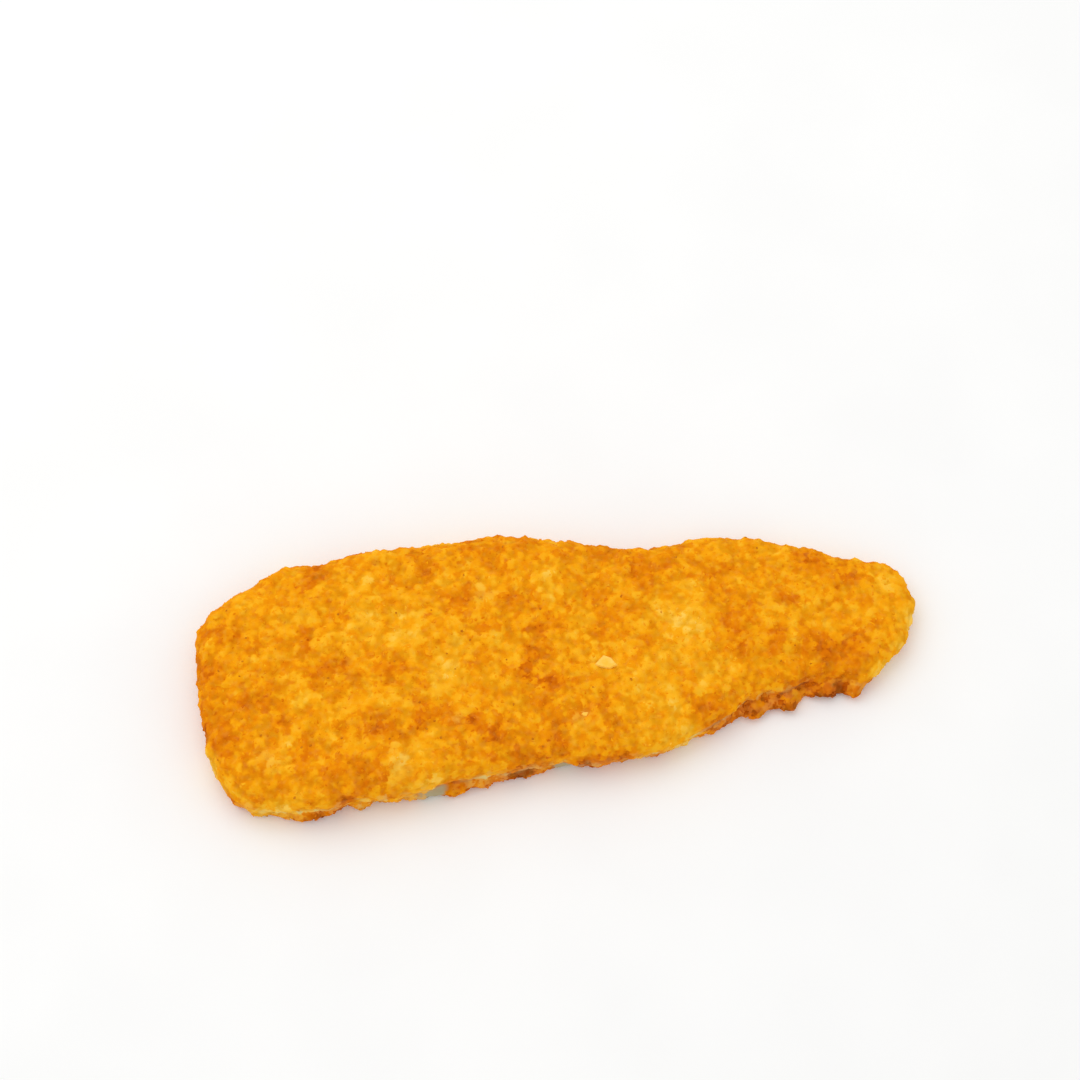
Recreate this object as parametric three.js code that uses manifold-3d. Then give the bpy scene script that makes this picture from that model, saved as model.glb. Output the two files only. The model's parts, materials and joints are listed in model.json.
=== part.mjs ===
// Breaded fish fillet, fried, lying flat: one solid, in millimetres, +Z up.
//
// The thick loin end is at -X, the tail at +X, and the crusted sole rests on z = 0.
// The body is a stack of closed rings around the fillet. The rings run up the side,
// over the shoulder and across the top to a spine, where the two halves meet.
// Crags of breading are relief along the surface normals, and loose clumps of
// toasted crumb are fused along the lower edge.

import * as THREE from 'three';
import { ImprovedNoise } from 'three/addons/math/ImprovedNoise.js';
import { mergeVertices } from 'three/addons/utils/BufferGeometryUtils.js';
import Module from 'manifold-3d';

// Overall sizes
const LENGTH = 165;
const LOIN_HEIGHT = 12.8;
const TAIL_HEIGHT = 8.9;
const TAPER_FROM = -35;
const TAPER_TO = 78;

// A soft step across the top, where the tail flap of the muscle begins
const STEP_X = 33;
const STEP_SLANT = -0.12;
const STEP_HEIGHT = 0.9;
const STEP_RUN = 5;

// Landmarks of the widest outline, counter-clockwise from the tail tip, as x and y
const OUTLINE = [
  [82.4, 12.5], [78.6, 19.6], [66, 23.6], [50, 27.4], [34, 28.8], [21, 26.4],
  [4, 28.6], [-14, 30], [-38, 28], [-52, 25.6], [-63, 24], [-71, 20],
  [-79, 14.6], [-82.3, 8], [-82.6, -8], [-79.4, -20.3], [-74.5, -30.4], [-64, -34.2],
  [-40, -32.4], [-31, -30.3], [-10, -26.6], [0, -25.9], [11, -24.9], [20, -23.7],
  [30, -20.1], [40, -13.6], [47, -10.1], [52, -9.6], [56, -6.7], [61, -6.8],
  [68, -7.6], [73, -6], [80, 3],
];

// The spine that the rings close onto, from the tail end to the loin end
const SPINE_TAIL = new THREE.Vector3(62, 10, 0);
const SPINE_LOIN = new THREE.Vector3(-54, -4, 0);

// The section from the sole up: inset from the outline in mm, and share of the height
const SECTION = [
  [3.4, 0], [1.5, 0.05], [0.6, 0.12], [0.35, 0.19], [0.45, 0.28], [0.2, 0.37],
  [0, 0.5], [0.5, 0.68], [1.8, 0.84], [3.8, 0.93], [6, 0.975],
];
const TOP_RINGS = 11;
const CROWN_SHARE = 0.08;

// The seam between the upper and lower crust, as shares of the height, which wander
const SEAM = { share: 0.28, wander: 0.06, width: 0.1, wave: 19 };
const NEAR_SIDE = { from: -0.1, to: 0.9 };

// Along the near side: x, how deep the seam cuts in, and how far the lower crust
// sticks out under it, or stays in where that is below 0
const NEAR_EDGE = [
  [-76, 0, 0], [-68, 0.4, 0.6], [-63, 0.7, 0.3], [-59, 0.9, 1.2], [-55, 0.7, 0.6],
  [-51, 0.5, -0.4], [-40, 0.2, -0.8], [-36, 0.3, -0.1], [-32, 0.7, 1.3], [-28, 1.1, 2],
  [-23, 1.1, 1.4], [-12, 1, 1.1], [-6, 0.9, 0.4], [0, 0.8, -0.3], [18, 0.4, -0.8],
  [24, 0.4, 0.3], [35, 0.9, 1], [41, 1.2, 2.2], [47, 1.3, 3.5], [55, 1.3, 3.4],
  [64, 1, 2.8], [68, 0.7, 1.2], [73, 0.3, 0], [82, 0, 0],
];

// Mesh steps
const EDGE_SAMPLES = 480;
const RING_STEP = 1.95;
const SPINE_STEP = 1.95;
const SOLE_SPINE_STEP = 28;

// Relief of the breading: wavelength and height of each scale, in mm
const RELIEF = [
  { wave: 21, height: 0.8 },
  { wave: 8.5, height: 0.95 },
  { wave: 4.2, height: 0.85 },
];
const CRAG_HEIGHT = 0.44;
const LOWEST_CRUST = 0.35;
const SEED = 20811;

// Clumps of toasted crumb along the near lower edge: centre x, y, z and radius
const CLUMPS = [
  [-57.3, -32.4, 2.2, 2.5], [-55.9, -31.2, 2, 1.6], [-46.3, -31.6, 1.7, 1.7],
  [-25.5, -29.6, 1.8, 1.5], [-18.8, -27.9, 1.8, 1.5], [-9.4, -25.5, 1.8, 1.4],
  [13.4, -22.6, 1.9, 1.9], [43.8, -12.8, 2, 2.4], [48.2, -11.4, 1.8, 1.7],
  [52, -11.2, 2.1, 2.4], [60.6, -8.1, 2.2, 2.4], [67, -8.4, 2.1, 2.3],
];
const CLUMP_ROUGHNESS = 0.13;
const CLUMP_FLATNESS = 0.8;
const CHIPS_PER_CLUMP = 3;
const CHIP_SHARE = 0.5;
const CHIP_REACH = 0.8;

const CRUST_COLOUR = 0xe9981c;
const CRUST_ROUGHNESS = 0.72;

const noise = new ImprovedNoise();

// The mulberry32 generator: a row of numbers from 0 to 1 that is the same each time
function seededRandom(seed) {
  let state = seed;
  return () => {
    state = (state + 0x6d2b79f5) | 0;
    let mixed = Math.imul(state ^ (state >>> 15), state | 1);
    mixed ^= mixed + Math.imul(mixed ^ (mixed >>> 7), mixed | 61);
    return ((mixed ^ (mixed >>> 14)) >>> 0) / 4294967296;
  };
}

// Height of the fillet at a place, before its crags
function heightAt(x, y) {
  const taper = THREE.MathUtils.smoothstep(x, TAPER_FROM, TAPER_TO);
  const stepLine = STEP_X + STEP_SLANT * y;
  const past = THREE.MathUtils.smoothstep(x, stepLine, stepLine + STEP_RUN);
  const fall = LOIN_HEIGHT - TAIL_HEIGHT - STEP_HEIGHT;
  return LOIN_HEIGHT - fall * taper - STEP_HEIGHT * past;
}

// Points at even steps along a closed curve
function evenPoints(through, count) {
  const curve = new THREE.CatmullRomCurve3(through, true, 'centripetal');
  curve.arcLengthDivisions = 2 * EDGE_SAMPLES;
  return curve.getSpacedPoints(count).slice(0, count);
}

function perimeter(points) {
  return points.reduce((sum, point, i) => sum + point.distanceTo(points.at(i - 1)), 0);
}

function spineAt(x) {
  const share = (SPINE_TAIL.x - x) / (SPINE_TAIL.x - SPINE_LOIN.x);
  return SPINE_TAIL.clone().lerp(SPINE_LOIN, THREE.MathUtils.clamp(share, 0, 1));
}

// How much a place on the outline faces the near side, from 0 to 1
function nearFacing(edge, spine) {
  const nearness = (spine.y - edge.y) / edge.distanceTo(spine);
  return THREE.MathUtils.smoothstep(nearness, NEAR_SIDE.from, NEAR_SIDE.to);
}

// The seam's depth and the ledge's reach at a place along the near side
function nearEdgeAt(x) {
  const next = NEAR_EDGE.findIndex(([station]) => station > x);
  if (next < 1) {
    return [0, 0];
  }
  const [before, depthBefore, reachBefore] = NEAR_EDGE[next - 1];
  const [after, depthAfter, reachAfter] = NEAR_EDGE[next];
  const part = (x - before) / (after - before);
  return [
    THREE.MathUtils.lerp(depthBefore, depthAfter, part),
    THREE.MathUtils.lerp(reachBefore, reachAfter, part),
  ];
}

// How far the near side moves in, at the seam, less how far it sticks out below it
function nearEdgeShift(x, share) {
  const [depth, reach] = nearEdgeAt(x);
  const along = x / SEAM.wave;
  const seamShare = SEAM.share + SEAM.wander * noise.noise(along, 0, along);
  const offset = (share - seamShare) / SEAM.width;
  const below = 1 - THREE.MathUtils.smoothstep(share, seamShare - SEAM.width, seamShare);
  return depth * Math.exp(-offset * offset) - reach * below;
}

// A ring of the section: its inset from the outline, and its share of the height
function sectionRing(outline, inset, share) {
  return outline.map((edge) => {
    const spine = spineAt(edge.x);
    const shift = inset + nearFacing(edge, spine) * nearEdgeShift(edge.x, share);
    const point = edge.clone().lerp(spine, shift / edge.distanceTo(spine));
    point.z = share * heightAt(point.x, point.y);
    return point;
  });
}

// A ring on the top, part of the way from the shoulder to the spine
function topRing(outline, part) {
  const [shoulderInset, shoulderShare] = SECTION.at(-1);
  return outline.map((edge) => {
    const spine = spineAt(edge.x);
    const from = shoulderInset / edge.distanceTo(spine);
    const point = edge.clone().lerp(spine, from + (1 - from) * part);
    const crown = shoulderShare + CROWN_SHARE * (1 - (1 - part) ** 2);
    point.z = crown * heightAt(point.x, point.y);
    return point;
  });
}

// Collects points and triangles, and keeps a loop of point numbers for each ring
class Shell {
  constructor() {
    this.points = [];
    this.faces = [];
  }

  addRing(curvePoints) {
    const count = Math.round(perimeter(curvePoints) / RING_STEP);
    const start = this.points.length;
    this.points.push(...evenPoints(curvePoints, count));
    return Array.from({ length: count }, (_, i) => start + i);
  }

  // The spine as a loop that runs out to the loin end and back along the same points
  addSpine(step, heightOf) {
    const steps = Math.round(SPINE_TAIL.distanceTo(SPINE_LOIN) / step);
    const start = this.points.length;
    for (let k = 0; k <= steps; k += 1) {
      const point = SPINE_TAIL.clone().lerp(SPINE_LOIN, k / steps);
      point.z = heightOf(point);
      this.points.push(point);
    }
    return Array.from({ length: 2 * steps }, (_, k) => start + Math.min(k, 2 * steps - k));
  }

  // Triangles between two loops, always by the shorter way across
  join(outer, inner, upward = true) {
    const gap = (a, b) => this.points[a].distanceTo(this.points[b]);
    let i = 0;
    let j = 0;
    while (i < outer.length || j < inner.length) {
      const a = outer[i % outer.length];
      const b = inner[j % inner.length];
      const nextA = outer[(i + 1) % outer.length];
      const nextB = inner[(j + 1) % inner.length];
      const onOuter = j === inner.length || (i < outer.length && gap(nextA, b) < gap(a, nextB));
      const third = onOuter ? nextA : nextB;
      this.faces.push(...(upward ? [a, third, b] : [a, b, third]));
      i += onOuter ? 1 : 0;
      j += onOuter ? 0 : 1;
    }
  }

  toGeometry() {
    const geometry = new THREE.BufferGeometry().setFromPoints(this.points);
    geometry.setIndex(this.faces);
    geometry.computeVertexNormals();
    return geometry;
  }
}

// The smooth closed body, as an indexed geometry
function smoothBody() {
  const landmarks = OUTLINE.map(([x, y]) => new THREE.Vector3(x, y, 0));
  const outline = evenPoints(landmarks, EDGE_SAMPLES);
  const shell = new Shell();
  const rings = SECTION.map(([inset, share]) => sectionRing(outline, inset, share));
  for (let k = 1; k < TOP_RINGS; k += 1) {
    rings.push(topRing(outline, k / TOP_RINGS));
  }
  const loops = rings.map((ring) => shell.addRing(ring));
  for (let k = 1; k < loops.length; k += 1) {
    shell.join(loops[k - 1], loops[k]);
  }
  const crown = SECTION.at(-1)[1] + CROWN_SHARE;
  shell.join(loops.at(-1), shell.addSpine(SPINE_STEP, ({ x, y }) => crown * heightAt(x, y)));
  shell.join(loops[0], shell.addSpine(SOLE_SPINE_STEP, () => 0), false);
  return shell.toGeometry();
}

// Height of the breading's relief at a place, without the smallest crags
function reliefAt(point) {
  let height = 0;
  for (const scale of RELIEF) {
    const at = point.clone().divideScalar(scale.wave).addScalar(scale.wave);
    height += scale.height * noise.noise(at.x, at.y, at.z);
  }
  return height;
}

// Pushes every vertex above the sole out or in along its normal
function addRelief(geometry) {
  const random = seededRandom(SEED);
  const position = geometry.attributes.position;
  const point = new THREE.Vector3();
  const normal = new THREE.Vector3();
  for (let i = 0; i < position.count; i += 1) {
    point.fromBufferAttribute(position, i);
    if (point.z > 0) {
      normal.fromBufferAttribute(geometry.attributes.normal, i);
      const crag = CRAG_HEIGHT * (2 * random() - 1);
      point.addScaledVector(normal, reliefAt(point) + crag);
      position.setXYZ(i, point.x, point.y, Math.max(point.z, LOWEST_CRUST));
    }
  }
}

// A rough lump of crumb, as an indexed geometry
function lump(centre, radius, detail, random) {
  const sphere = new THREE.IcosahedronGeometry(radius, detail);
  sphere.deleteAttribute('normal');
  sphere.deleteAttribute('uv');
  const geometry = mergeVertices(sphere);
  const position = geometry.attributes.position;
  const point = new THREE.Vector3();
  for (let i = 0; i < position.count; i += 1) {
    point.fromBufferAttribute(position, i);
    point.multiplyScalar(1 + CLUMP_ROUGHNESS * (2 * random() - 1));
    point.z *= CLUMP_FLATNESS;
    point.add(centre);
    position.setXYZ(i, point.x, point.y, Math.max(point.z, LOWEST_CRUST));
  }
  return geometry;
}

// A clump: one lump with smaller chips stuck round it
function clumpLumps([x, y, z, radius], random) {
  const centre = new THREE.Vector3(x, y, z);
  const lumps = [lump(centre, radius, 1, random)];
  for (let k = 0; k < CHIPS_PER_CLUMP; k += 1) {
    const turn = 2 * Math.PI * random();
    const offset = new THREE.Vector3(Math.cos(turn), Math.sin(turn), random() - 0.5);
    const chipCentre = centre.clone().addScaledVector(offset, CHIP_REACH * radius);
    lumps.push(lump(chipCentre, CHIP_SHARE * radius, 0, random));
  }
  return lumps;
}

function toManifold(wasm, geometry) {
  const mesh = new wasm.Mesh({
    numProp: 3,
    vertProperties: new Float32Array(geometry.attributes.position.array),
    triVerts: new Uint32Array(geometry.index.array),
  });
  return new wasm.Manifold(mesh);
}

function toGeometry(solid) {
  const mesh = solid.getMesh();
  const geometry = new THREE.BufferGeometry();
  geometry.setAttribute('position', new THREE.BufferAttribute(mesh.vertProperties, 3));
  geometry.setIndex(new THREE.BufferAttribute(mesh.triVerts, 1));
  return geometry;
}

// The largest closed shell alone: fills the hollows that fusing sealed, and drops scraps
function mainShell(solid) {
  const shells = solid.decompose();
  return shells.reduce((most, shell) => (shell.volume() > most.volume() ? shell : most));
}

// Brings the footprint's middle to the origin and the length to its set value
function settle(geometry) {
  geometry.computeBoundingBox();
  const box = geometry.boundingBox;
  const middle = box.getCenter(new THREE.Vector3());
  const scale = LENGTH / (box.max.x - box.min.x);
  geometry.translate(-middle.x, -middle.y, 0);
  geometry.scale(scale, scale, scale);
}

async function makeFillet() {
  const wasm = await Module();
  wasm.setup();
  const body = smoothBody();
  addRelief(body);
  let solid = toManifold(wasm, body);
  const random = seededRandom(SEED + 1);
  for (const piece of CLUMPS.flatMap((place) => clumpLumps(place, random))) {
    solid = solid.add(toManifold(wasm, piece));
  }
  const geometry = toGeometry(mainShell(solid));
  settle(geometry);
  geometry.computeVertexNormals();
  const crust = new THREE.MeshStandardMaterial({
    color: CRUST_COLOUR,
    roughness: CRUST_ROUGHNESS,
    metalness: 0,
  });
  const fillet = new THREE.Mesh(geometry, crust);
  fillet.name = 'fillet';
  return fillet;
}

const group = new THREE.Group();
group.add(await makeFillet());

export default group;
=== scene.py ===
"""A breaded, fried fish fillet: the crust, its breadcrumbs and how they have browned.

The solid model gives the fillet its form. The batter here is that form, drawn in by the
room that the crumbs need. Thousands of breadcrumbs are pressed into it and fused with it,
so that the crust's outer side lies where the solid's surface was. Finer crumbs, two broad
flakes and scorched specks lie on it. Sizes and places are in millimetres.
"""
import json
import math
import random

import bmesh
import bpy
import numpy as np
from mathutils import Matrix, Vector, noise
from mathutils.bvhtree import BVHTree

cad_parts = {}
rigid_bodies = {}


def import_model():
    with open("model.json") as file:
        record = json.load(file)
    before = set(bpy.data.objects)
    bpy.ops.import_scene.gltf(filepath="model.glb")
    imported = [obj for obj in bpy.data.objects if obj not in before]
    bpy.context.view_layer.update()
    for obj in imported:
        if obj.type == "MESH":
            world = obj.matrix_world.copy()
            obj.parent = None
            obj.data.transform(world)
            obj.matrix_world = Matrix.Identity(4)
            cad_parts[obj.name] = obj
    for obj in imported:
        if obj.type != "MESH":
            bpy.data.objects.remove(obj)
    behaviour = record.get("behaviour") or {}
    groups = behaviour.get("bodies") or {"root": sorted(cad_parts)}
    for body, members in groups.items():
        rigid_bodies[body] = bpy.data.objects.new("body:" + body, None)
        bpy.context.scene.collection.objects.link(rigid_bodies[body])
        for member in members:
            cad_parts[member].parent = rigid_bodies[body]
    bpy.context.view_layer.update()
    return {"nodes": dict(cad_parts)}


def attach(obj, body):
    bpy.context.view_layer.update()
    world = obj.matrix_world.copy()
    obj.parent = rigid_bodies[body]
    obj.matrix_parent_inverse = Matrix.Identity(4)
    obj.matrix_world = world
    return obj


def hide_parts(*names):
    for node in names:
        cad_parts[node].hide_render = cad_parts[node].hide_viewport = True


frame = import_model()

MM = 0.001
FILLET = "fillet"

# The batter under the crumbs
SAME_PLACE = 0.001                      # corners of the solid nearer than this are one
CORE_VOXEL = 0.8
CORE_SOFTEN_ROUNDS = 8
SOFTENING = 0.5                         # how far a round draws a vertex to its neighbours' middle
BATTER_SHRINK = 0.06                    # the room that the crumbs take up
CELLS = {"size": 2.1, "depth": 0.3, "softness": 0.5}
LUMPS = {"size": 4.0, "depth": 0.35}

# Breadcrumbs. gap is the least distance between neighbours of a kind, small and large
# are diameters, sink is how deep a crumb's middle lies under the surface it is on, and
# where names the attribute of that surface which says where there are crumbs
PRESSED = {
    "gap": 1.1, "small": 1.4, "large": 3.4, "corners": 12, "sink": 0.0, "seed": 11, "where": "skin",
}
LOOSE = {
    "crumbs_golden": {
        "gap": 2.5, "small": 1.2, "large": 2.3, "corners": 14, "sink": 0.3, "seed": 23, "where": "cover",
    },
    "crumbs_fine": {
        "gap": 1.25, "small": 0.6, "large": 1.2, "corners": 11, "sink": 0.08, "seed": 37, "where": "cover",
    },
    # Crumbs on the ledge under the lip, which take its toast and its painted shade
    "crumbs_toasted": {
        "gap": 1.2, "small": 0.9, "large": 2.0, "corners": 12, "sink": 0.1, "seed": 53, "where": "ledge",
    },
}
SHAPES_PER_KIND = 12
CORNER_RADII = (0.38, 0.5)              # from a crumb's middle, for a crumb about 1 across
CRUMB_STRETCH = ((0.95, 1.3), (0.75, 1.0), (0.4, 0.6))
CRUMB_TILT = 0.35
SMALL_BIAS = 1.6                        # above 1, more of the crumbs are small than large
MOST_CRUMBS_PER_MM2 = 4

# The crust: the batter and its pressed crumbs, fused
CRUST_VOXEL = 0.45                      # fine enough to hold a crumb of 1.5 mm
CRUST_SOFTEN_ROUNDS = 1
CRUST_TRIANGLES = 190000

# What the crust takes over from the batter and the crumbs: how browned it is, with painted
# shade in the seam and under the lip, how dry and pale, where it is bare and painted grey as
# shadow, where loose crumbs and those under the lip lie, and the crumb's own shade
KEPT = ("tone", "pale", "bare", "cover", "ledge", "shade")

# The UV maps: a crumb's diameter as a share of its tile, and where the crust's sole lies
TILE_FILL = 0.7
MAP_MARGIN = 0.05
SOLE_FACING = -0.5                      # faces that point down more than this are the sole
SOLE_RAISED = 0.5

MIDDLE = 0.5                            # of the crumbs' shades, and of a noise

# How browned the crust is: 0 is toasted dark brown and 1 is pale yellow
TONE = 0.6
TOASTED_DEPTH = 0.35
GOLDEN_RISE = 0.22
SEAM_SHADE = 0.15                       # painted shade: how much darker the bottom of the seam is
DARKEST = 0.02
SPOT_EDGE = {"stray": 1.1, "wave": 5.0, "seed": 3}       # how far a spot's outline strays
SIDE_MOTTLE = {"change": 0.25, "wave": 7.0, "seed": 5}   # how unevenly the sides browned

# Spots that browned more, and along the far edge painted shadow too: x, y, radius and strength
TOASTED_AND_SHADOWED = [
    (-79, 0, 3.2, 0.9), (-78, -7, 3, 0.5), (-77, -13, 3.5, 0.5), (-75, -17, 3, 0.7), (-71, -7.5, 3, 0.5),
    (-66, -8.5, 3, 0.6), (-62.5, -12.5, 2.3, 0.7), (-69.5, 2.5, 2.3, 0.35), (-74, 8.5, 2.8, 0.7),
    (-79, 10, 2.5, 0.6), (-57.5, 6.5, 2.4, 0.7), (-55, 22.5, 3, 0.9), (-59, 21, 4, 0.4),
    (-60, 1.5, 2, 0.35), (-51, -1, 2.8, 0.9), (-46, -2.5, 2.5, 0.7), (-40, 0.5, 2.8, 0.6),
    (-36, -2.5, 2.8, 0.6), (-73, -24, 4, 0.35), (-64, -28, 3, 0.4), (-57, -20.5, 2.5, 0.5),
    (-51, -25, 4, 0.6), (-44, -24, 2.3, 0.5), (-40.5, -26.5, 2.6, 0.9), (-48, -30, 3.5, 0.3),
    (-40, -14.5, 2.8, 0.8), (-36, -17, 2.3, 0.6), (-44.5, -13.5, 2.3, 0.4), (-31, -12.5, 2.8, 0.8),
    (-26, -10, 2.6, 0.5), (-20.5, -15, 2.6, 0.8), (-15.5, -16.5, 3, 0.8), (-22, 16, 2.3, 0.6),
    (-18, 8.5, 2.6, 0.5), (-30, 22, 2.5, 0.35), (-38, 19.5, 2, 0.35), (-10, 13.5, 2.8, 0.6),
    (-4.5, 7.5, 3, 0.7), (-5.5, 0.5, 2.6, 0.9), (-7, -4.5, 2.3, 0.8), (-3, -7, 2.5, 0.9),
    (-5, -12.5, 2.8, 0.3), (-24, -21, 3, 0.4), (-10, -23, 4, 0.6), (-2, -22, 4, 0.7), (-1, -15.5, 3.5, 0.7),
    (6, -23.5, 2.8, 0.8), (6, -13, 2.8, 0.35), (12.5, -16, 3.5, 0.3), (10, 6, 2.3, 0.5), (10, 14, 2.2, 0.4),
    (17, 11.5, 1.8, 0.35), (31.5, -11.5, 2.8, 0.8), (36, -13, 2.3, 0.35), (39, 6.5, 3.2, 0.7),
    (43, 12.5, 3.5, 0.4), (41, 1.5, 2.4, 0.7), (49, 2, 2.3, 0.6), (52, 13, 2, 0.8), (20.5, 21, 3.5, 0.7),
    (28, 24.5, 3.5, 0.5), (37, 20.5, 3.2, 0.5), (62, 17.5, 2.4, 0.4), (67, 17.5, 2.3, 0.6),
    (58, 23, 3.2, 0.6), (59, 2, 3.2, 0.8), (65, 0.5, 3.5, 0.9), (69, 3.5, 3, 0.85), (60, -4, 3, 0.4),
    (66, -5.5, 3, 0.6), (54, -4, 3.2, 0.3), (40, -8, 2.6, 0.3), (47, -10, 3, 0.3), (82, 11, 2, 0.3),
    # These along the far edge are browning and partly painted shadow, as from a second fillet lying against
    # it
    (-33, 27, 4, 0.5), (-20, 28.5, 4, 0.4), (-8, 28.5, 4, 0.35), (4, 27, 4, 0.35), (14, 26, 4, 0.5),
]

# Spots that stayed paler
GOLDEN = [
    (-35, 7, 5, 1.0), (-42, 6, 3, 0.5), (-46, 9, 3, 0.6), (-44, 14, 3.2, 0.8), (-45, 20, 3, 0.7),
    (-56, 12, 2.4, 0.5), (-25, -1, 3.8, 0.8), (-25, -5.5, 3, 0.8), (-22, 5, 3, 0.8), (-12, 3, 3, 0.6),
    (-26, 23, 2, 0.5), (-17, 16.5, 2.3, 0.5), (-13, 17.5, 2.3, 0.4), (-2, 18, 2.8, 0.8),
    (-58, -7.5, 2.8, 0.7), (-41, -9.5, 3.4, 0.9), (-60, -17, 2.3, 0.6), (-51, -16, 2, 0.4),
    (-65, -23, 3, 0.4), (-37, -24, 3, 0.9), (-32, -20, 2.8, 0.6), (-28, -17, 2.4, 0.5),
    (-70, 16, 3, 0.2), (-65, 3.5, 2.2, 0.4), (-67, -32, 4, 0.9), (-60, -32.5, 3, 0.6), (6, 2, 3, 0.5),
    (13.5, 3, 2.3, 0.5), (8, -2, 3.5, 0.5), (22, 11.5, 3.2, 1.0), (29, 9, 4.5, 1.0), (32, 5, 3.5, 0.8),
    (25, 5, 3, 0.5), (31, 17, 2.8, 0.4), (14, 19, 2.8, 0.4), (16, -6, 2.8, 0.6), (22, -10, 3.2, 0.9),
    (26, -11.5, 2.8, 0.7), (17.5, -15.5, 3, 0.7), (25, -16, 3, 0.4), (33, -4, 3.6, 0.8), (28, -2, 3, 0.4),
    (37, -6, 2.8, 0.5), (22, -4, 3, 0.4), (5, -17, 2, 0.5), (24, -21.5, 3.2, 0.6), (30, -18.5, 3, 0.5),
    (17, -23.5, 2.6, 0.5), (41, -2, 2.4, 0.3), (48, 13, 2.2, 0.4), (49.5, 9, 2.4, 0.3), (54, 8, 2.8, 0.35),
    (61, 5.5, 2.2, 0.8), (66, 13.5, 2.4, 0.3), (77, 18, 3.2, 0.6), (80, 9, 3.5, 0.8), (77, 2, 2.8, 0.8),
    (74, -3, 2.6, 0.7), (73, 14, 3, 0.3),
]

# Single crumbs and patches that stayed dry and pale: x, y, radius and strength
PALE = [
    (-36.3, -24.0, 2.2, 0.2), (-17, 16, 1.5, 0.25), (5, -14, 1.2, 0.2), (-66, -21, 2, 0.15),
    (-24, -13.5, 1.1, 0.25),
]

# The near side's seam, where the upper crust meets the ledge under it
SEAM_LEVELS = np.linspace(0.16, 0.42, 9)   # shares of the height, searched for the deepest cut
SEAM_STATION = 3.0                         # from one searched place to the next
SEAM_LEVEL_HALF = 0.3
SEAM_HALF_WIDTH = 0.35
SEAM_CLEARED = 0.8                         # the share of crumbs that the seam is without
LEDGE_FADE = 0.5
LIP_TOP = 0.52                             # where the dry lip begins, as a share of height
LIP_FADE = 0.09
LIP_DRYNESS = 0.88                         # how much of the dry colour shows on the driest lip
LIP_PATCHES = {"wave": 2.2, "seed": 9}
LIP_PATCH_LIMITS = (-0.3, 0.15)            # not dry below the first, and all dry above the second
LEDGE_DRYNESS = 0.45                       # how dry the ledge is, as a share of the lip above it

# How much a place faces -Y to be on the near side, +Z to be on the top and not on the
# sides, and +Z to be clear of the sole: none up to the first value, and all at the second
NEAR_NORMAL = (0.1, 0.5)
TOP_NORMAL = (0.2, 0.8)
SOLE_NORMAL = (-0.85, -0.6)

# Along the near side: x, how dry and pale the lip is, and how toasted the ledge is, darker
# also as painted shade under the overhanging lip, or how much paler it is where that is below 0
NEAR_EDGE = [
    (-74, 0.2, 0), (-66, 0.6, 0), (-61, 0.8, 0.1), (-57, 1, 0.5), (-53, 1, 0.35), (-48, 0.9, -0.06),
    (-36, 0.8, -0.06), (-30, 0.9, 0), (-23, 1, 0.06), (-15, 0.9, 0.16), (-9, 0.5, 0.3), (-5, 0.4, 0.1),
    (4, 0.4, 0.2), (12, 0.4, 0.3), (18, 0.8, 0), (28, 0.9, 0), (36, 0.9, 0.1), (42, 0.7, 0.35),
    (53, 0.6, 0.38), (57, 0.25, 0.33), (64, 0.3, 0.28), (70, 0.4, 0.05), (76, 0.7, 0), (82, 0.3, 0),
]

# Stretches of the near side left without crumbs and painted grey as the shadow under the
# lip: middle x and half length, and the lowest and the highest level over the seam
BARE_SHADOWED = [(-29.8, 3.0), (0.1, 2.4)]
BARE_LEVELS = (-4.0, 0.1)
BARE_EDGE = 0.5

# Broad flakes of crumb lying on the crust: x, y, width and turn. The outline is in widths
FLAKES = [(10.3, -1.9, 5.2, 0.0), (4.6, -13.6, 1.7, 3.4)]
FLAKE_OUTLINE = [(0.5, 0.08), (0.22, 0.2), (-0.16, 0.3), (-0.5, 0.14), (-0.24, -0.22), (0.08, -0.36)]
FLAKE_THICKNESS = 0.4
FLAKE_TAPER = 0.86                         # the outline on top, as a share of the one below
SEARCH_HEIGHT = 13                         # a level that is near the top of the crust

# Specks of pepper and scorched crumb: those that stand out, as x and y, and the rest
SPECK_PLACES = [
    (-52, -3), (-71, -12), (-58, -19), (-49, -18), (-59, -31), (55, 0), (74, 16), (-11, -11),
    (-21, 21), (-40, -14), (-4, 12), (-67, -16), (-22, 7),
]
SPECKS = {"count": 50, "small": 0.45, "large": 0.9, "corners": 11, "seed": 71}
SPECK_STRETCH = (1.1, 0.9, 0.6)

# The view: from above the fillet's long side
VIEW_TARGET = (-3.08, 34.97, 0)
VIEW_AZIMUTH = math.radians(-2.4)
VIEW_ELEVATION = math.radians(65)
VIEW_DISTANCE = 614.6
VIEW_WIDTH = 252.8
VIEW_NEAREST = 10
SENSOR = 36

# The light: an even white room, and a large soft lamp over the far left, in metres and watts
ROOM = {"colour": "#FFFFFF", "strength": 0.85}
SOFTBOX = {"place": (-0.25, 0.3, 0.8), "width": 0.9, "height": 0.7, "power": 2.0}
FLOOR_SIZE = 3


# ---------------------------------------------------------------- helpers

def linear(hex_colour):
    """A colour given as sRGB hex, as linear red, green, blue and alpha."""
    parts = [int(hex_colour[i:i + 2], 16) / 255 for i in (1, 3, 5)]
    return [p / 12.92 if p <= 0.04045 else ((p + 0.055) / 1.055) ** 2.4 for p in parts] + [1.0]


def socket_of(node, name):
    """An input by its number, or the one of that name that the node's settings leave in use."""
    if isinstance(name, int):
        return node.inputs[name]
    return next(s for s in node.inputs if s.name == name and s.enabled)


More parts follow.
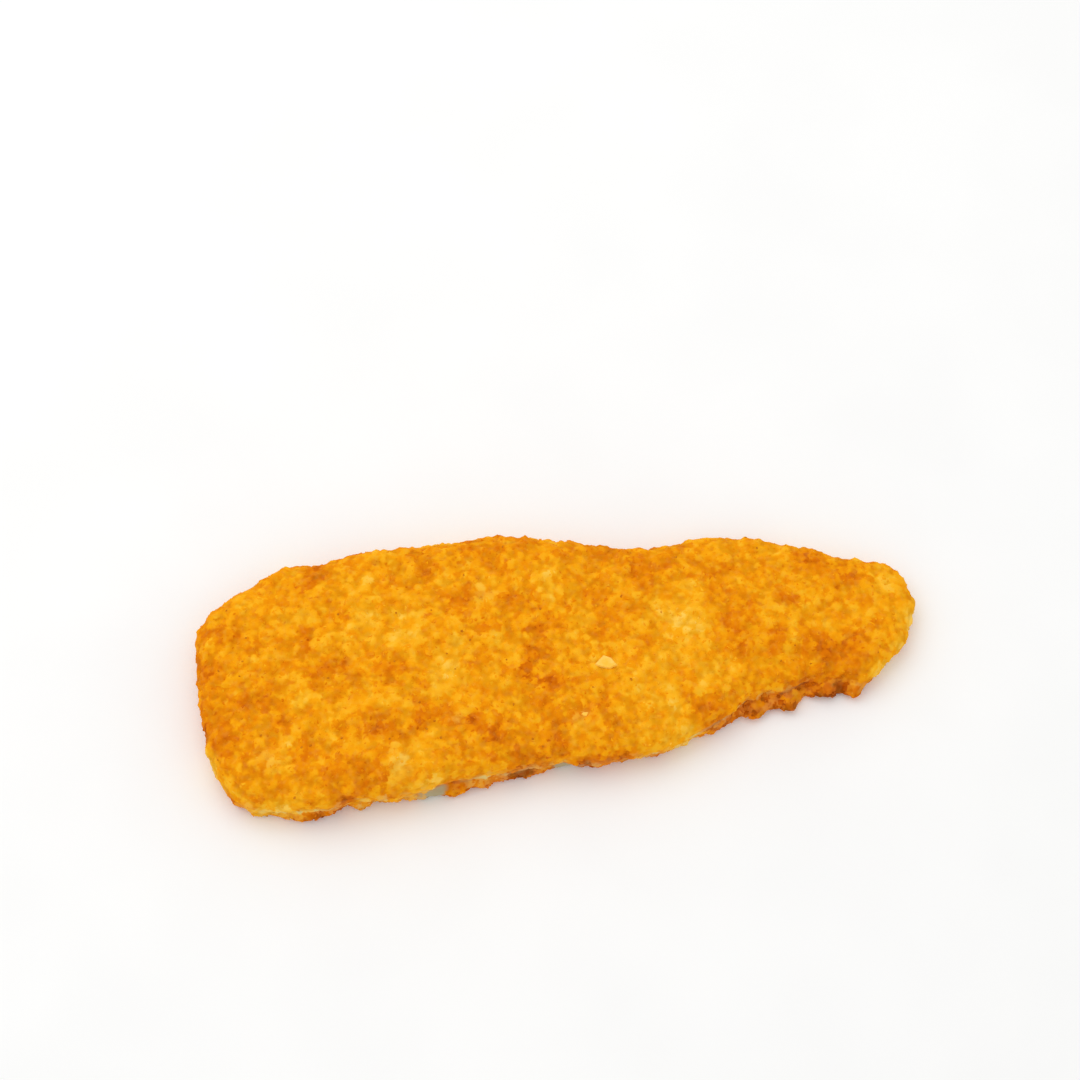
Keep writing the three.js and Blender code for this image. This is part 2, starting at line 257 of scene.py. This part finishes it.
def add_node(tree, kind, inputs=None, stops=None, **settings):
    """Add a node with its settings, its inputs' values or links, and its ramp's stops."""
    node = tree.nodes.new(kind)
    for name, value in settings.items():
        setattr(node, name, value)
    for name, value in (inputs or {}).items():
        socket = socket_of(node, name)
        if isinstance(value, bpy.types.NodeSocket):
            tree.links.new(value, socket)
        else:
            socket.default_value = value
    for k, (at, colour) in enumerate((stops or {}).items()):
        elements = node.color_ramp.elements
        if k == 0:
            elements.remove(elements[0])
        element = elements[0] if k == 0 else elements.new(at)
        element.position = at
        element.color = linear(colour)
    return node


def new_piece(name, mesh):
    """Put a mesh in the scene as an object at the origin."""
    piece = bpy.data.objects.new(name, mesh)
    bpy.context.scene.collection.objects.link(piece)
    return piece


def mesh_from(work, name):
    """Turn a bmesh into a mesh, and free it."""
    mesh = bpy.data.meshes.new(name)
    work.to_mesh(mesh)
    work.free()
    return mesh


def settled(piece):
    """Apply every modifier of a piece to its mesh."""
    graph = bpy.context.evaluated_depsgraph_get()
    mesh = bpy.data.meshes.new_from_object(piece.evaluated_get(graph))
    piece.modifiers.clear()
    piece.data = mesh
    mesh.name = piece.name
    return piece


def geometry_tree(name):
    """An empty geometry tree with one way in and one way out."""
    tree = bpy.data.node_groups.new(name, "GeometryNodeTree")
    tree.interface.new_socket("Geometry", in_out="INPUT", socket_type="NodeSocketGeometry")
    tree.interface.new_socket("Geometry", in_out="OUTPUT", socket_type="NodeSocketGeometry")
    return tree


def run_tree(piece, tree):
    """Run a geometry tree on a piece, and keep its result as the piece's mesh."""
    modifier = piece.modifiers.new(tree.name, "NODES")
    modifier.node_group = tree
    settled(piece)
    bpy.data.node_groups.remove(tree)
    return piece


def read_points(mesh, what):
    """The places or normals of a mesh's vertices, as rows of x, y and z."""
    source = mesh.vertices if what == "co" else mesh.vertex_normals
    values = np.empty(3 * len(mesh.vertices), np.float32)
    source.foreach_get("co" if what == "co" else "vector", values)
    return values.reshape(-1, 3)


def write_points(mesh, name, values):
    """Keep one number for each vertex as a named attribute."""
    attribute = mesh.attributes.new(name, "FLOAT", "POINT")
    attribute.data.foreach_set("value", np.asarray(values, np.float32))


def smooth_step(values, low, high):
    """0 up to low and 1 from high on, with a smooth rise between them."""
    share = np.clip((values - low) / (high - low), 0, 1)
    return share * share * (3 - 2 * share)


def bell(values, half_width):
    """1 at 0, and falling off on both sides."""
    return np.exp(-(values / half_width) ** 2)


def between(values, low, high):
    """1 between two values and 0 beyond them, with soft ends."""
    return smooth_step(values, low - BARE_EDGE, low + BARE_EDGE) * smooth_step(
        -values, -high - BARE_EDGE, -high + BARE_EDGE)


# ---------------------------------------------------------------- the crust

def make_core():
    """The solid's own form in even small faces, with its corners softened."""
    work = bmesh.new()
    work.from_mesh(frame["nodes"][FILLET].data)
    bmesh.ops.remove_doubles(work, verts=work.verts, dist=SAME_PLACE * MM)
    core = new_piece("batter", mesh_from(work, "batter"))
    remesh = core.modifiers.new("voxels", "REMESH")
    remesh.mode = "VOXEL"
    remesh.voxel_size = CORE_VOXEL * MM
    remesh.use_smooth_shade = True
    soften = core.modifiers.new("soften", "SMOOTH")
    soften.factor = SOFTENING
    soften.iterations = CORE_SOFTEN_ROUNDS
    return settled(core)


def seam_line(places, near):
    """Stations along the fillet, and at each the seam's height and the near side's top."""
    stations = np.arange(places[:, 0].min(), places[:, 0].max(), SEAM_STATION)
    heights = []
    tops = []
    for station in stations:
        strip = places[(np.abs(places[:, 0] - station) < SEAM_STATION) & near]
        top = strip[:, 2].max()
        levels = [np.abs(strip[:, 2] - share * top) < SEAM_LEVEL_HALF for share in SEAM_LEVELS]
        depths = [strip[level, 1].mean() for level in levels]
        heights.append(SEAM_LEVELS[int(np.argmax(depths))] * top)
        tops.append(top)
    padded = np.pad(heights, 1, mode="edge")
    return stations, (padded[:-2] + padded[1:-1] + padded[2:]) / 3, tops


def spots(around, listed):
    """How much of the listed spots there is at each place."""
    total = np.zeros(len(around))
    for x, y, radius, strength in listed:
        total += strength * bell(np.hypot(around[:, 0] - x, around[:, 1] - y), radius)
    return np.minimum(total, 1)


def wander(places, layer):
    """A smooth shift for each place, about -0.5 to 0.5 each way, and the same for a seed."""
    noise.seed_set(layer["seed"])
    return np.array([noise.noise_vector(Vector(p) / layer["wave"]) for p in places.tolist()])


def brown(core):
    """Work out how browned, pale, bare and crumbed each place on the batter is, and where shade and shadow
    are painted on it.
    """
    mesh = core.data
    places = read_points(mesh, "co") / MM
    normals = read_points(mesh, "normal")
    near = smooth_step(-normals[:, 1], *NEAR_NORMAL)
    stations, heights, tops = seam_line(places, near > 0.5)
    above = places[:, 2] - np.interp(places[:, 0], stations, heights)
    strayed = wander(places, SPOT_EDGE)
    around = places[:, :2] + 2 * SPOT_EDGE["stray"] * strayed[:, :2]
    edge_x, edge_dry, edge_toast_and_shade = np.array(NEAR_EDGE).T
    ledge = near * smooth_step(-above, -LEDGE_FADE, LEDGE_FADE)
    # On the ledge: toast, and painted shade under the overhanging lip
    toast_and_shade = ledge * np.interp(around[:, 0], edge_x, edge_toast_and_shade)
    share = places[:, 2] / np.interp(places[:, 0], stations, tops)
    lip = near * smooth_step(-share, -LIP_TOP - LIP_FADE, -LIP_TOP + LIP_FADE)
    lip *= np.clip(1 - (1 - LEDGE_DRYNESS) * ledge - toast_and_shade, 0, 1)
    lip *= LIP_DRYNESS * np.interp(places[:, 0], edge_x, edge_dry)
    lip *= smooth_step(wander(places, LIP_PATCHES)[:, 0], *LIP_PATCH_LIMITS)
    # Painted shadow: grey strips under the lip, where crumbs are also left off
    bare = near * between(above + strayed[:, 2], *BARE_LEVELS)
    bare *= sum(between(around[:, 0], x - half, x + half) for x, half in BARE_SHADOWED)
    seam = near * bell(above, SEAM_HALF_WIDTH)
    tone = TONE + GOLDEN_RISE * spots(around, GOLDEN) - TOASTED_DEPTH * spots(around, TOASTED_AND_SHADOWED)
    uneven = wander(places, SIDE_MOTTLE)[:, 2] * (1 - smooth_step(normals[:, 2], *TOP_NORMAL))
    tone += 2 * SIDE_MOTTLE["change"] * uneven
    above_sole = smooth_step(normals[:, 2], *SOLE_NORMAL)
    skin = (1 - SEAM_CLEARED * seam) * (1 - bare)
    # The tone, with painted shade in the seam and on the ledge under the lip
    write_points(mesh, "tone", np.clip(tone - toast_and_shade - SEAM_SHADE * seam, DARKEST, 1))
    write_points(mesh, "pale", np.clip(lip + spots(around, PALE), 0, 1))
    write_points(mesh, "bare", bare)
    write_points(mesh, "skin", skin)
    write_points(mesh, "cover", skin * above_sole)
    write_points(mesh, "ledge", ledge * (1 - bare) * above_sole)
    write_points(mesh, "shade", np.full(len(places), MIDDLE))


def roughened(core):
    """Draw the batter in by the crumbs' room, and raise it in cells and lumps."""
    tree = geometry_tree("roughen")
    start = add_node(tree, "NodeGroupInput")
    normal = add_node(tree, "GeometryNodeInputNormal")
    place = add_node(tree, "GeometryNodeInputPosition")
    cells = add_node(tree, "ShaderNodeTexVoronoi", {
        "Vector": place.outputs[0], "Scale": 1 / (CELLS["size"] * MM), "Smoothness": CELLS["softness"],
    }, feature="SMOOTH_F1")
    lumps = add_node(tree, "ShaderNodeTexNoise", {
        "Vector": place.outputs[0], "Scale": 1 / (LUMPS["size"] * MM), "Detail": 2.0,
    })
    cell_rise = add_node(tree, "ShaderNodeMath", {
        0: cells.outputs["Distance"], 1: -CELLS["depth"] * MM,
        2: (CELLS["depth"] / 2 - LUMPS["depth"] / 2 - BATTER_SHRINK) * MM,
    }, operation="MULTIPLY_ADD")
    rise = add_node(tree, "ShaderNodeMath", {
        0: lumps.outputs["Fac"], 1: LUMPS["depth"] * MM, 2: cell_rise.outputs[0],
    }, operation="MULTIPLY_ADD")
    offset = add_node(tree, "ShaderNodeVectorMath", {
        0: normal.outputs[0], "Scale": rise.outputs[0],
    }, operation="SCALE")
    moved = add_node(tree, "GeometryNodeSetPosition", {
        "Geometry": start.outputs[0], "Offset": offset.outputs[0],
    })
    add_node(tree, "NodeGroupOutput", {0: moved.outputs[0]})
    return run_tree(core, tree)


# ---------------------------------------------------------------- crumbs

def add_hull(work, corners, draw, stretch):
    """Add the hull of a few points round the origin, about 1 across, and return its vertices."""
    points = []
    for _ in range(corners):
        ray = Vector((draw.gauss(0, 1), draw.gauss(0, 1), draw.gauss(0, 1))).normalized()
        points.append(work.verts.new(ray * draw.uniform(*CORNER_RADII)))
    hull = bmesh.ops.convex_hull(work, input=points)
    inner = [v for v in hull["geom_interior"] if isinstance(v, bmesh.types.BMVert)]
    bmesh.ops.delete(work, geom=inner, context="VERTS")
    kept = [v for v in points if v.is_valid]
    bmesh.ops.scale(work, verts=kept, vec=stretch)
    return kept


def crumb_shape(name, corners, draw):
    """One broken breadcrumb. Each vertex remembers its place on it, for the crumb's own tile."""
    work = bmesh.new()
    add_hull(work, corners, draw, [draw.uniform(*limits) for limits in CRUMB_STRETCH])
    bmesh.ops.recalc_face_normals(work, faces=work.faces)
    mesh = mesh_from(work, name)
    spot = mesh.attributes.new("spot", "FLOAT_VECTOR", "POINT")
    spot.data.foreach_set("vector", read_points(mesh, "co").ravel())
    return bpy.data.objects.new(name, mesh)


def lay_out_tiles(piece):
    """Give every crumb a tile of its own in the piece's UV map."""
    mesh = piece.data
    corners = np.empty(len(mesh.loops), np.int32)
    mesh.loops.foreach_get("vertex_index", corners)
    number = np.empty(len(mesh.vertices), np.int32)
    mesh.attributes["number"].data.foreach_get("value", number)
    spot = np.empty(3 * len(mesh.vertices), np.float32)
    mesh.attributes["spot"].data.foreach_get("vector", spot)
    across = math.ceil(math.sqrt(number.max() + 1))
    tile = np.stack([number % across, number // across], axis=1)
    places = (tile + 0.5 + TILE_FILL * spot.reshape(-1, 3)[:, :2]) / across
    tiles = mesh.uv_layers.new(name="OFBake")
    tiles.data.foreach_set("uv", places[corners].astype(np.float32).ravel())
    mesh.attributes.remove(mesh.attributes["number"])
    mesh.attributes.remove(mesh.attributes["spot"])


def scatter_crumbs(name, kind, base, with_base):
    """Breadcrumbs stuck all over a base, a little apart from each other."""
    draw = random.Random(kind["seed"])
    shapes = bpy.data.collections.new(name + "_shapes")
    for k in range(SHAPES_PER_KIND):
        shapes.objects.link(crumb_shape(f"{name}_{k}", kind["corners"], draw))
    piece = new_piece(name, base.data.copy())
    tree = geometry_tree(name)
    start = add_node(tree, "NodeGroupInput")
    cover = add_node(tree, "GeometryNodeInputNamedAttribute", {
        "Name": kind["where"],
    }, data_type="FLOAT")
    points = add_node(tree, "GeometryNodeDistributePointsOnFaces", {
        "Mesh": start.outputs[0], "Distance Min": kind["gap"] * MM, "Density Factor": cover.outputs[0],
        "Density Max": MOST_CRUMBS_PER_MM2 / MM ** 2, "Seed": kind["seed"],
    }, distribute_method="POISSON")
    down = add_node(tree, "ShaderNodeVectorMath", {
        0: points.outputs["Normal"], "Scale": -kind["sink"] * MM,
    }, operation="SCALE")
    sunk = add_node(tree, "GeometryNodeSetPosition", {
        "Geometry": points.outputs["Points"], "Offset": down.outputs[0],
    })
    picks = add_node(tree, "GeometryNodeCollectionInfo", {
        "Collection": shapes, "Separate Children": True, "Reset Children": True,
    })
    pick = add_node(tree, "FunctionNodeRandomValue", {
        "Min": 0, "Max": SHAPES_PER_KIND - 1, "Seed": kind["seed"] + 1,
    }, data_type="INT")
    spin = add_node(tree, "FunctionNodeRandomValue", {
        "Min": (-CRUMB_TILT, -CRUMB_TILT, -math.pi), "Max": (CRUMB_TILT, CRUMB_TILT, math.pi),
        "Seed": kind["seed"] + 2,
    }, data_type="FLOAT_VECTOR")
    spun = add_node(tree, "FunctionNodeEulerToRotation", {0: spin.outputs[0]})
    turn = add_node(tree, "FunctionNodeRotateRotation", {
        0: points.outputs["Rotation"], 1: spun.outputs[0],
    }, rotation_space="LOCAL")
    luck = add_node(tree, "FunctionNodeRandomValue", {"Seed": kind["seed"] + 3}, data_type="FLOAT")
    mostly_small = add_node(tree, "ShaderNodeMath", {
        0: luck.outputs[1], 1: SMALL_BIAS,
    }, operation="POWER")
    size = add_node(tree, "ShaderNodeMath", {
        0: mostly_small.outputs[0], 1: (kind["large"] - kind["small"]) * MM, 2: kind["small"] * MM,
    }, operation="MULTIPLY_ADD")
    crumbs = add_node(tree, "GeometryNodeInstanceOnPoints", {
        "Points": sunk.outputs[0], "Instance": picks.outputs[0], "Pick Instance": True,
        "Instance Index": pick.outputs[2], "Rotation": turn.outputs[0], "Scale": size.outputs[0],
    })
    shade = add_node(tree, "FunctionNodeRandomValue", {"Seed": kind["seed"] + 4}, data_type="FLOAT")
    toned = add_node(tree, "GeometryNodeStoreNamedAttribute", {
        "Geometry": crumbs.outputs[0], "Name": "shade", "Value": shade.outputs[1],
    }, data_type="FLOAT", domain="INSTANCE")
    index = add_node(tree, "GeometryNodeInputIndex")
    numbered = add_node(tree, "GeometryNodeStoreNamedAttribute", {
        "Geometry": toned.outputs[0], "Name": "number", "Value": index.outputs[0],
    }, data_type="INT", domain="INSTANCE")
    real = add_node(tree, "GeometryNodeRealizeInstances", {0: numbered.outputs[0]})
    both = add_node(tree, "GeometryNodeJoinGeometry", {0: real.outputs[0]})
    if with_base:
        tree.links.new(start.outputs[0], both.inputs[0])
    add_node(tree, "NodeGroupOutput", {0: both.outputs[0]})
    run_tree(piece, tree)
    for shape in list(shapes.objects):
        bpy.data.objects.remove(shape)
    bpy.data.collections.remove(shapes)
    return piece


def make_loose_crumbs(name, kind, crust):
    """Finer crumbs on the fused crust."""
    piece = scatter_crumbs(name, kind, crust, False)
    lay_out_tiles(piece)
    return piece


def make_crust(batter):
    """Crumbs pressed into the batter and fused with it into one rough skin."""
    pressed = scatter_crumbs("pressed", PRESSED, batter, True)
    crust = new_piece("crust", pressed.data.copy())
    remesh = crust.modifiers.new("voxels", "REMESH")
    remesh.mode = "VOXEL"
    remesh.voxel_size = CRUST_VOXEL * MM
    remesh.use_smooth_shade = True
    soften = crust.modifiers.new("soften", "SMOOTH")
    soften.factor = SOFTENING
    soften.iterations = CRUST_SOFTEN_ROUNDS
    settled(crust)
    rest_on_floor(crust)
    triangles = 2 * len(crust.data.polygons)
    thin = crust.modifiers.new("thin", "DECIMATE")
    thin.ratio = min(1.0, CRUST_TRIANGLES / triangles)
    settled(crust)
    carry_over(crust, pressed, batter)
    lay_out_crust(crust)
    bpy.data.objects.remove(pressed)
    bpy.data.objects.remove(batter)
    return crust


def carry_over(crust, pressed, batter):
    """Bring the batter's and the crumbs' browning to the crust, and its height over the batter."""
    tree = geometry_tree("carry_over")
    done = add_node(tree, "NodeGroupInput").outputs[0]
    source = add_node(tree, "GeometryNodeObjectInfo", {"Object": pressed}).outputs["Geometry"]
    under = add_node(tree, "GeometryNodeObjectInfo", {"Object": batter}).outputs["Geometry"]
    over = add_node(tree, "GeometryNodeProximity", {"Geometry": under}).outputs["Distance"]
    in_mm = add_node(tree, "ShaderNodeMath", {0: over, 1: MM}, operation="DIVIDE").outputs[0]
    found = {"rise": in_mm}
    for name in KEPT:
        value = add_node(tree, "GeometryNodeInputNamedAttribute", {"Name": name}, data_type="FLOAT")
        found[name] = add_node(tree, "GeometryNodeSampleNearestSurface", {
            "Mesh": source, "Value": value.outputs[0],
        }, data_type="FLOAT").outputs[0]
    for name, value in found.items():
        done = add_node(tree, "GeometryNodeStoreNamedAttribute", {
            "Geometry": done, "Name": name, "Value": value,
        }, data_type="FLOAT", domain="POINT").outputs[0]
    add_node(tree, "NodeGroupOutput", {0: done})
    run_tree(crust, tree)


def lay_out_crust(crust):
    """Lay the top and the sole flat, side by side, in the crust's UV map."""
    mesh = crust.data
    places = read_points(mesh, "co") / MM
    normals = np.empty(3 * len(mesh.polygons), np.float32)
    mesh.polygons.foreach_get("normal", normals)
    counts = np.empty(len(mesh.polygons), np.int32)
    mesh.polygons.foreach_get("loop_total", counts)
    corners = np.empty(len(mesh.loops), np.int32)
    mesh.loops.foreach_get("vertex_index", corners)
    low = places.min(axis=0)
    span = places.max(axis=0) - low
    flat = (places[:, :2] - low[:2]) / span[0]
    sole = np.repeat(normals.reshape(-1, 3)[:, 2] < SOLE_FACING, counts)
    layout = flat[corners]
    layout[:, 1] = MAP_MARGIN + layout[:, 1] + np.where(sole, SOLE_RAISED, 0)
    layer = mesh.uv_layers.new(name="OFBake")
    layer.data.foreach_set("uv", layout.astype(np.float32).ravel())


def rest_on_floor(piece):
    """Flatten what would reach under the floor."""
    places = read_points(piece.data, "co")
    places[:, 2] = np.maximum(places[:, 2], 0)
    piece.data.vertices.foreach_set("co", places.ravel())
    piece.data.update()


def stand_on(place, facing, turn):
    """The transform that puts a thing on a place, facing outwards and turned on the spot."""
    upright = facing.to_track_quat("Z", "Y").to_matrix().to_4x4()
    return Matrix.Translation(place) @ upright @ Matrix.Rotation(turn, 4, "Z")


def make_flakes(surface):
    """Broad pale flakes that lie on the crust's top."""
    work = bmesh.new()
    for x, y, width, turn in FLAKES:
        place, _, _, _ = surface.find_nearest(Vector((x, y, SEARCH_HEIGHT)) * MM)
        points = []
        for share, height in ((1, 0), (FLAKE_TAPER, FLAKE_THICKNESS)):
            for across, along in FLAKE_OUTLINE:
                flat = Vector((across * width * share, along * width * share, height))
                points.append(work.verts.new(flat * MM))
        bmesh.ops.convex_hull(work, input=points)
        bmesh.ops.transform(work, matrix=stand_on(place, Vector((0, 0, 1)), turn), verts=points)
    bmesh.ops.recalc_face_normals(work, faces=work.faces)
    return new_piece("crumb_flakes", mesh_from(work, "crumb_flakes"))


def make_specks(crust, surface):
    """Specks of pepper and scorched crumb on the crust."""
    draw = random.Random(SPECKS["seed"])
    found = []
    for x, y in SPECK_PLACES:
        found.append(surface.find_nearest(Vector((x, y, SEARCH_HEIGHT)) * MM)[:2])
    for vertex in draw.sample(range(len(crust.data.vertices)), SPECKS["count"]):
        point = crust.data.vertices[vertex]
        found.append((point.co.copy(), point.normal.copy()))
    work = bmesh.new()
    for place, facing in found:
        speck = add_hull(work, SPECKS["corners"], draw, SPECK_STRETCH)
        size = Matrix.Scale(draw.uniform(SPECKS["small"], SPECKS["large"]) * MM, 4)
        where = stand_on(place, facing, draw.uniform(0, 2 * math.pi)) @ size
        bmesh.ops.transform(work, matrix=where, verts=speck)
    bmesh.ops.recalc_face_normals(work, faces=work.faces)
    return new_piece("scorched_specks", mesh_from(work, "scorched_specks"))


# ---------------------------------------------------------------- materials

# The fried crumb's colour at each tone, from toasted dark brown to pale yellow
BROWNING = {
    0.0: "#9C4604", 0.12: "#BE5A04", 0.3: "#DE7706", 0.48: "#EE9108", 0.62: "#F7A50F",
    0.8: "#FBB724", 1.0: "#FECB52",
}

MOTTLE = ((8.0, 0.15), (3.4, 0.46), (1.5, 0.26))   # size in mm and how much each changes the tone
CRUMB_SHADE = 0.28                              # how much the tone changes from crumb to crumb
HOLLOW_SHADE = 0.12                                # painted shade: how much the tone changes for each mm of height, darker lower down
MIDDLE_RISE = 0.5
DRY_CRUMB = "#D8C682"
# Painted shadow: the grey of the shade under the lip, on the strips without crumbs
UNDER_LIP_SHADOW = "#B3A784"
# Painted shade: the pits, where the crust lies lowest over the batter, are painted darker
PIT_SHADE = "#A86808"
PIT_SHADE_RISE = 0.28                                 # below this height over the batter lies a pit
PIT_SHADE_SHARE = 0.3
DUST_AND_HIGHLIGHT = {"colour": "#F8E492", "size": 1.3, "from": 0.5, "share": 0.08}     # dry flour in places, and pale flecks painted as highlights
OLIVE = {"colour": "#CE960E", "size": 2.6, "from": 0.52, "share": 0.45}    # where less oil browned it
DRIER_CRUMBS = {"From Min": 0.2, "From Max": 0.8, "To Min": 0.1, "To Max": 1.0}   # by their shade
GRIT = {"size": 0.55, "strength": 0.2, "depth": 0.12}    # finer in a real crumb than would show

# The oil has soaked in, so the crumb is rough and next to nothing shines on it
CRUMB_SURFACE = {"Roughness": 0.75, "IOR": 1.45, "Specular IOR Level": 0.02}

# The plain materials: colour, the colour that mottles it, the mottle's size and roughness
PLAIN = {
    # Uncoated card, rolled smooth: matt and even, so nothing but the shadow shows on it
    "white_card": ("#FBFBFA", "#F9F9F8", 40, 0.9),
    # Coarse breadcrumb that took up little oil: matt, and paler than the crust around it
    "dry_crumb_flake": ("#FFC23E", "#FFCE62", 1.5, 0.7),
    # Pepper and fine crumb that the oil scorched: matt and brown
    "scorched_crumb": ("#BC6C10", "#D08216", 0.8, 0.8),
}
MOTTLE_STOPS = (0.35, 0.65)
PLAIN_SURFACE = {"IOR": 1.45, "Specular IOR Level": 0.1}


def patches(tree, place, layer):
    """How much of a layer's colour shows: none up to where its noise passes a value."""
    noise_at = add_node(tree, "ShaderNodeTexNoise", {
        "Vector": place, "Scale": 1 / (layer["size"] * MM), "Detail": 1.0,
    })
    return add_node(tree, "ShaderNodeMapRange", {
        "Value": noise_at.outputs["Fac"], "From Min": layer["from"], "From Max": 1.0,
        "To Min": 0.0, "To Max": layer["share"],
    }).outputs["Result"]


def fried_crumb():
    """Wheat breadcrumb fried in oil: dry, porous and matt, so it has next to no gloss. The oil
    turns it yellow first, then orange and brown, and unevenly, crumb by crumb."""
    material = bpy.data.materials.new("fried_breadcrumb")
    material.use_nodes = True
    tree = material.node_tree
    tree.nodes.clear()
    place = add_node(tree, "ShaderNodeTexCoord").outputs["Object"]
    kept = {what: add_node(tree, "ShaderNodeAttribute", attribute_name=what).outputs["Fac"]
            for what in ("tone", "shade", "rise", "pale", "bare")}
    # The tone changes from crumb to crumb, and painted shade lowers it where the crust lies lower over the
    # batter
    changes = [(kept["shade"], CRUMB_SHADE, MIDDLE), (kept["rise"], HOLLOW_SHADE, MIDDLE_RISE)]
    for size, amount in MOTTLE:
        mottle = add_node(tree, "ShaderNodeTexNoise", {
            "Vector": place, "Scale": 1 / (size * MM), "Detail": 1.0, "Roughness": 0.5,
        })
        changes.append((mottle.outputs["Fac"], amount, MIDDLE))
    tone = kept["tone"]
    for change, amount, middle in changes:
        lower = add_node(tree, "ShaderNodeMath", {0: tone, 1: amount * middle}, operation="SUBTRACT")
        tone = add_node(tree, "ShaderNodeMath", {
            0: change, 1: amount, 2: lower.outputs[0],
        }, operation="MULTIPLY_ADD").outputs[0]
    colour = add_node(tree, "ShaderNodeValToRGB", {0: tone}, BROWNING).outputs["Color"]
    # Painted shade in the pits between the crumbs
    pit_shade = add_node(tree, "ShaderNodeMapRange", {
        "Value": kept["rise"], "From Min": 0.0, "From Max": PIT_SHADE_RISE, "To Min": PIT_SHADE_SHARE, "To Max": 0.0,
    }).outputs["Result"]
    drier = add_node(tree, "ShaderNodeMapRange", {
        "Value": kept["shade"], **DRIER_CRUMBS,
    }).outputs["Result"]
    dry = add_node(tree, "ShaderNodeMath", {0: kept["pale"], 1: drier}, operation="MULTIPLY").outputs[0]
    # Flour dust with painted highlights, and olive patches
    dusty_and_highlit, olive = (patches(tree, place, layer) for layer in (DUST_AND_HIGHLIGHT, OLIVE))
    layers = [
        (olive, OLIVE["colour"]), (dusty_and_highlit, DUST_AND_HIGHLIGHT["colour"]), (pit_shade, PIT_SHADE), (dry, DRY_CRUMB),
        (kept["bare"], UNDER_LIP_SHADOW),
    ]
    for share, other in layers:
        colour = add_node(tree, "ShaderNodeMix", {
            "Factor": share, 6: colour, 7: linear(other),
        }, data_type="RGBA").outputs[2]
    grit = add_node(tree, "ShaderNodeTexNoise", {
        "Vector": place, "Scale": 1 / (GRIT["size"] * MM), "Detail": 1.0,
    })
    bump = add_node(tree, "ShaderNodeBump", {
        "Height": grit.outputs["Fac"], "Strength": GRIT["strength"], "Distance": GRIT["depth"] * MM,
    })
    shader = add_node(tree, "ShaderNodeBsdfPrincipled", {
        "Base Color": colour, "Normal": bump.outputs[0], **CRUMB_SURFACE,
    })
    add_node(tree, "ShaderNodeOutputMaterial", {"Surface": shader.outputs[0]})
    return material


def plain(name):
    """A matt material of one colour that a second colour mottles."""
    colour, fleck, size, roughness = PLAIN[name]
    material = bpy.data.materials.new(name)
    material.use_nodes = True
    tree = material.node_tree
    tree.nodes.clear()
    place = add_node(tree, "ShaderNodeTexCoord").outputs["Object"]
    mottle = add_node(tree, "ShaderNodeTexNoise", {
        "Vector": place, "Scale": 1 / (size * MM), "Detail": 2.0,
    }).outputs["Fac"]
    stops = dict(zip(MOTTLE_STOPS, (colour, fleck)))
    mottled = add_node(tree, "ShaderNodeValToRGB", {0: mottle}, stops).outputs["Color"]
    shader = add_node(tree, "ShaderNodeBsdfPrincipled", {
        "Base Color": mottled, "Roughness": roughness, **PLAIN_SURFACE,
    })
    add_node(tree, "ShaderNodeOutputMaterial", {"Surface": shader.outputs[0]})
    return material


# ---------------------------------------------------------------- stage

def make_floor():
    """A sheet of white card, so wide that its ends don't show."""
    work = bmesh.new()
    bmesh.ops.create_grid(work, x_segments=1, y_segments=1, size=FLOOR_SIZE)
    floor = new_piece("floor", mesh_from(work, "floor"))
    floor.data.materials.append(plain("white_card"))


def make_camera():
    """A camera that looks down on the fillet from its near side."""
    target = Vector(VIEW_TARGET) * MM
    back = Vector((
        math.sin(VIEW_AZIMUTH) * math.cos(VIEW_ELEVATION),
        -math.cos(VIEW_AZIMUTH) * math.cos(VIEW_ELEVATION),
        math.sin(VIEW_ELEVATION),
    ))
    camera = bpy.data.objects.new("camera", bpy.data.cameras.new("camera"))
    camera.data.sensor_width = SENSOR
    camera.data.lens = SENSOR * VIEW_DISTANCE / VIEW_WIDTH
    camera.data.clip_start = VIEW_NEAREST * MM
    camera.location = target + VIEW_DISTANCE * MM * back
    camera.rotation_euler = back.to_track_quat("Z", "Y").to_euler()
    bpy.context.scene.collection.objects.link(camera)
    bpy.context.scene.camera = camera


def make_light():
    """Even white light from all round, and a soft lamp above."""
    world = bpy.data.worlds.new("studio")
    world.use_nodes = True
    background = world.node_tree.nodes["Background"]
    background.inputs["Color"].default_value = linear(ROOM["colour"])
    background.inputs["Strength"].default_value = ROOM["strength"]
    bpy.context.scene.world = world
    lamp = bpy.data.lights.new("softbox", "AREA")
    lamp.shape = "RECTANGLE"
    lamp.size = SOFTBOX["width"]
    lamp.size_y = SOFTBOX["height"]
    lamp.energy = SOFTBOX["power"]
    softbox = bpy.data.objects.new("softbox", lamp)
    softbox.location = SOFTBOX["place"]
    softbox.rotation_euler = Vector(softbox.location).to_track_quat("Z", "Y").to_euler()
    bpy.context.scene.collection.objects.link(softbox)
    bpy.context.scene.view_settings.view_transform = "Standard"


def dress(piece, material):
    """Give a piece its material, and make it part of the fillet's crust."""
    piece.data.materials.clear()
    piece.data.materials.append(material)
    rest_on_floor(piece)
    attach(piece, "root")


make_camera()
make_light()
make_floor()

batter = make_core()
brown(batter)
roughened(batter)
crust = make_crust(batter)
crumb = fried_crumb()
for kind_name, kind in LOOSE.items():
    dress(make_loose_crumbs(kind_name, kind, crust), crumb)
surface = BVHTree.FromObject(crust, bpy.context.evaluated_depsgraph_get())
dress(make_flakes(surface), plain("dry_crumb_flake"))
dress(make_specks(crust, surface), plain("scorched_crumb"))
dress(crust, crumb)
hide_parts(FILLET)
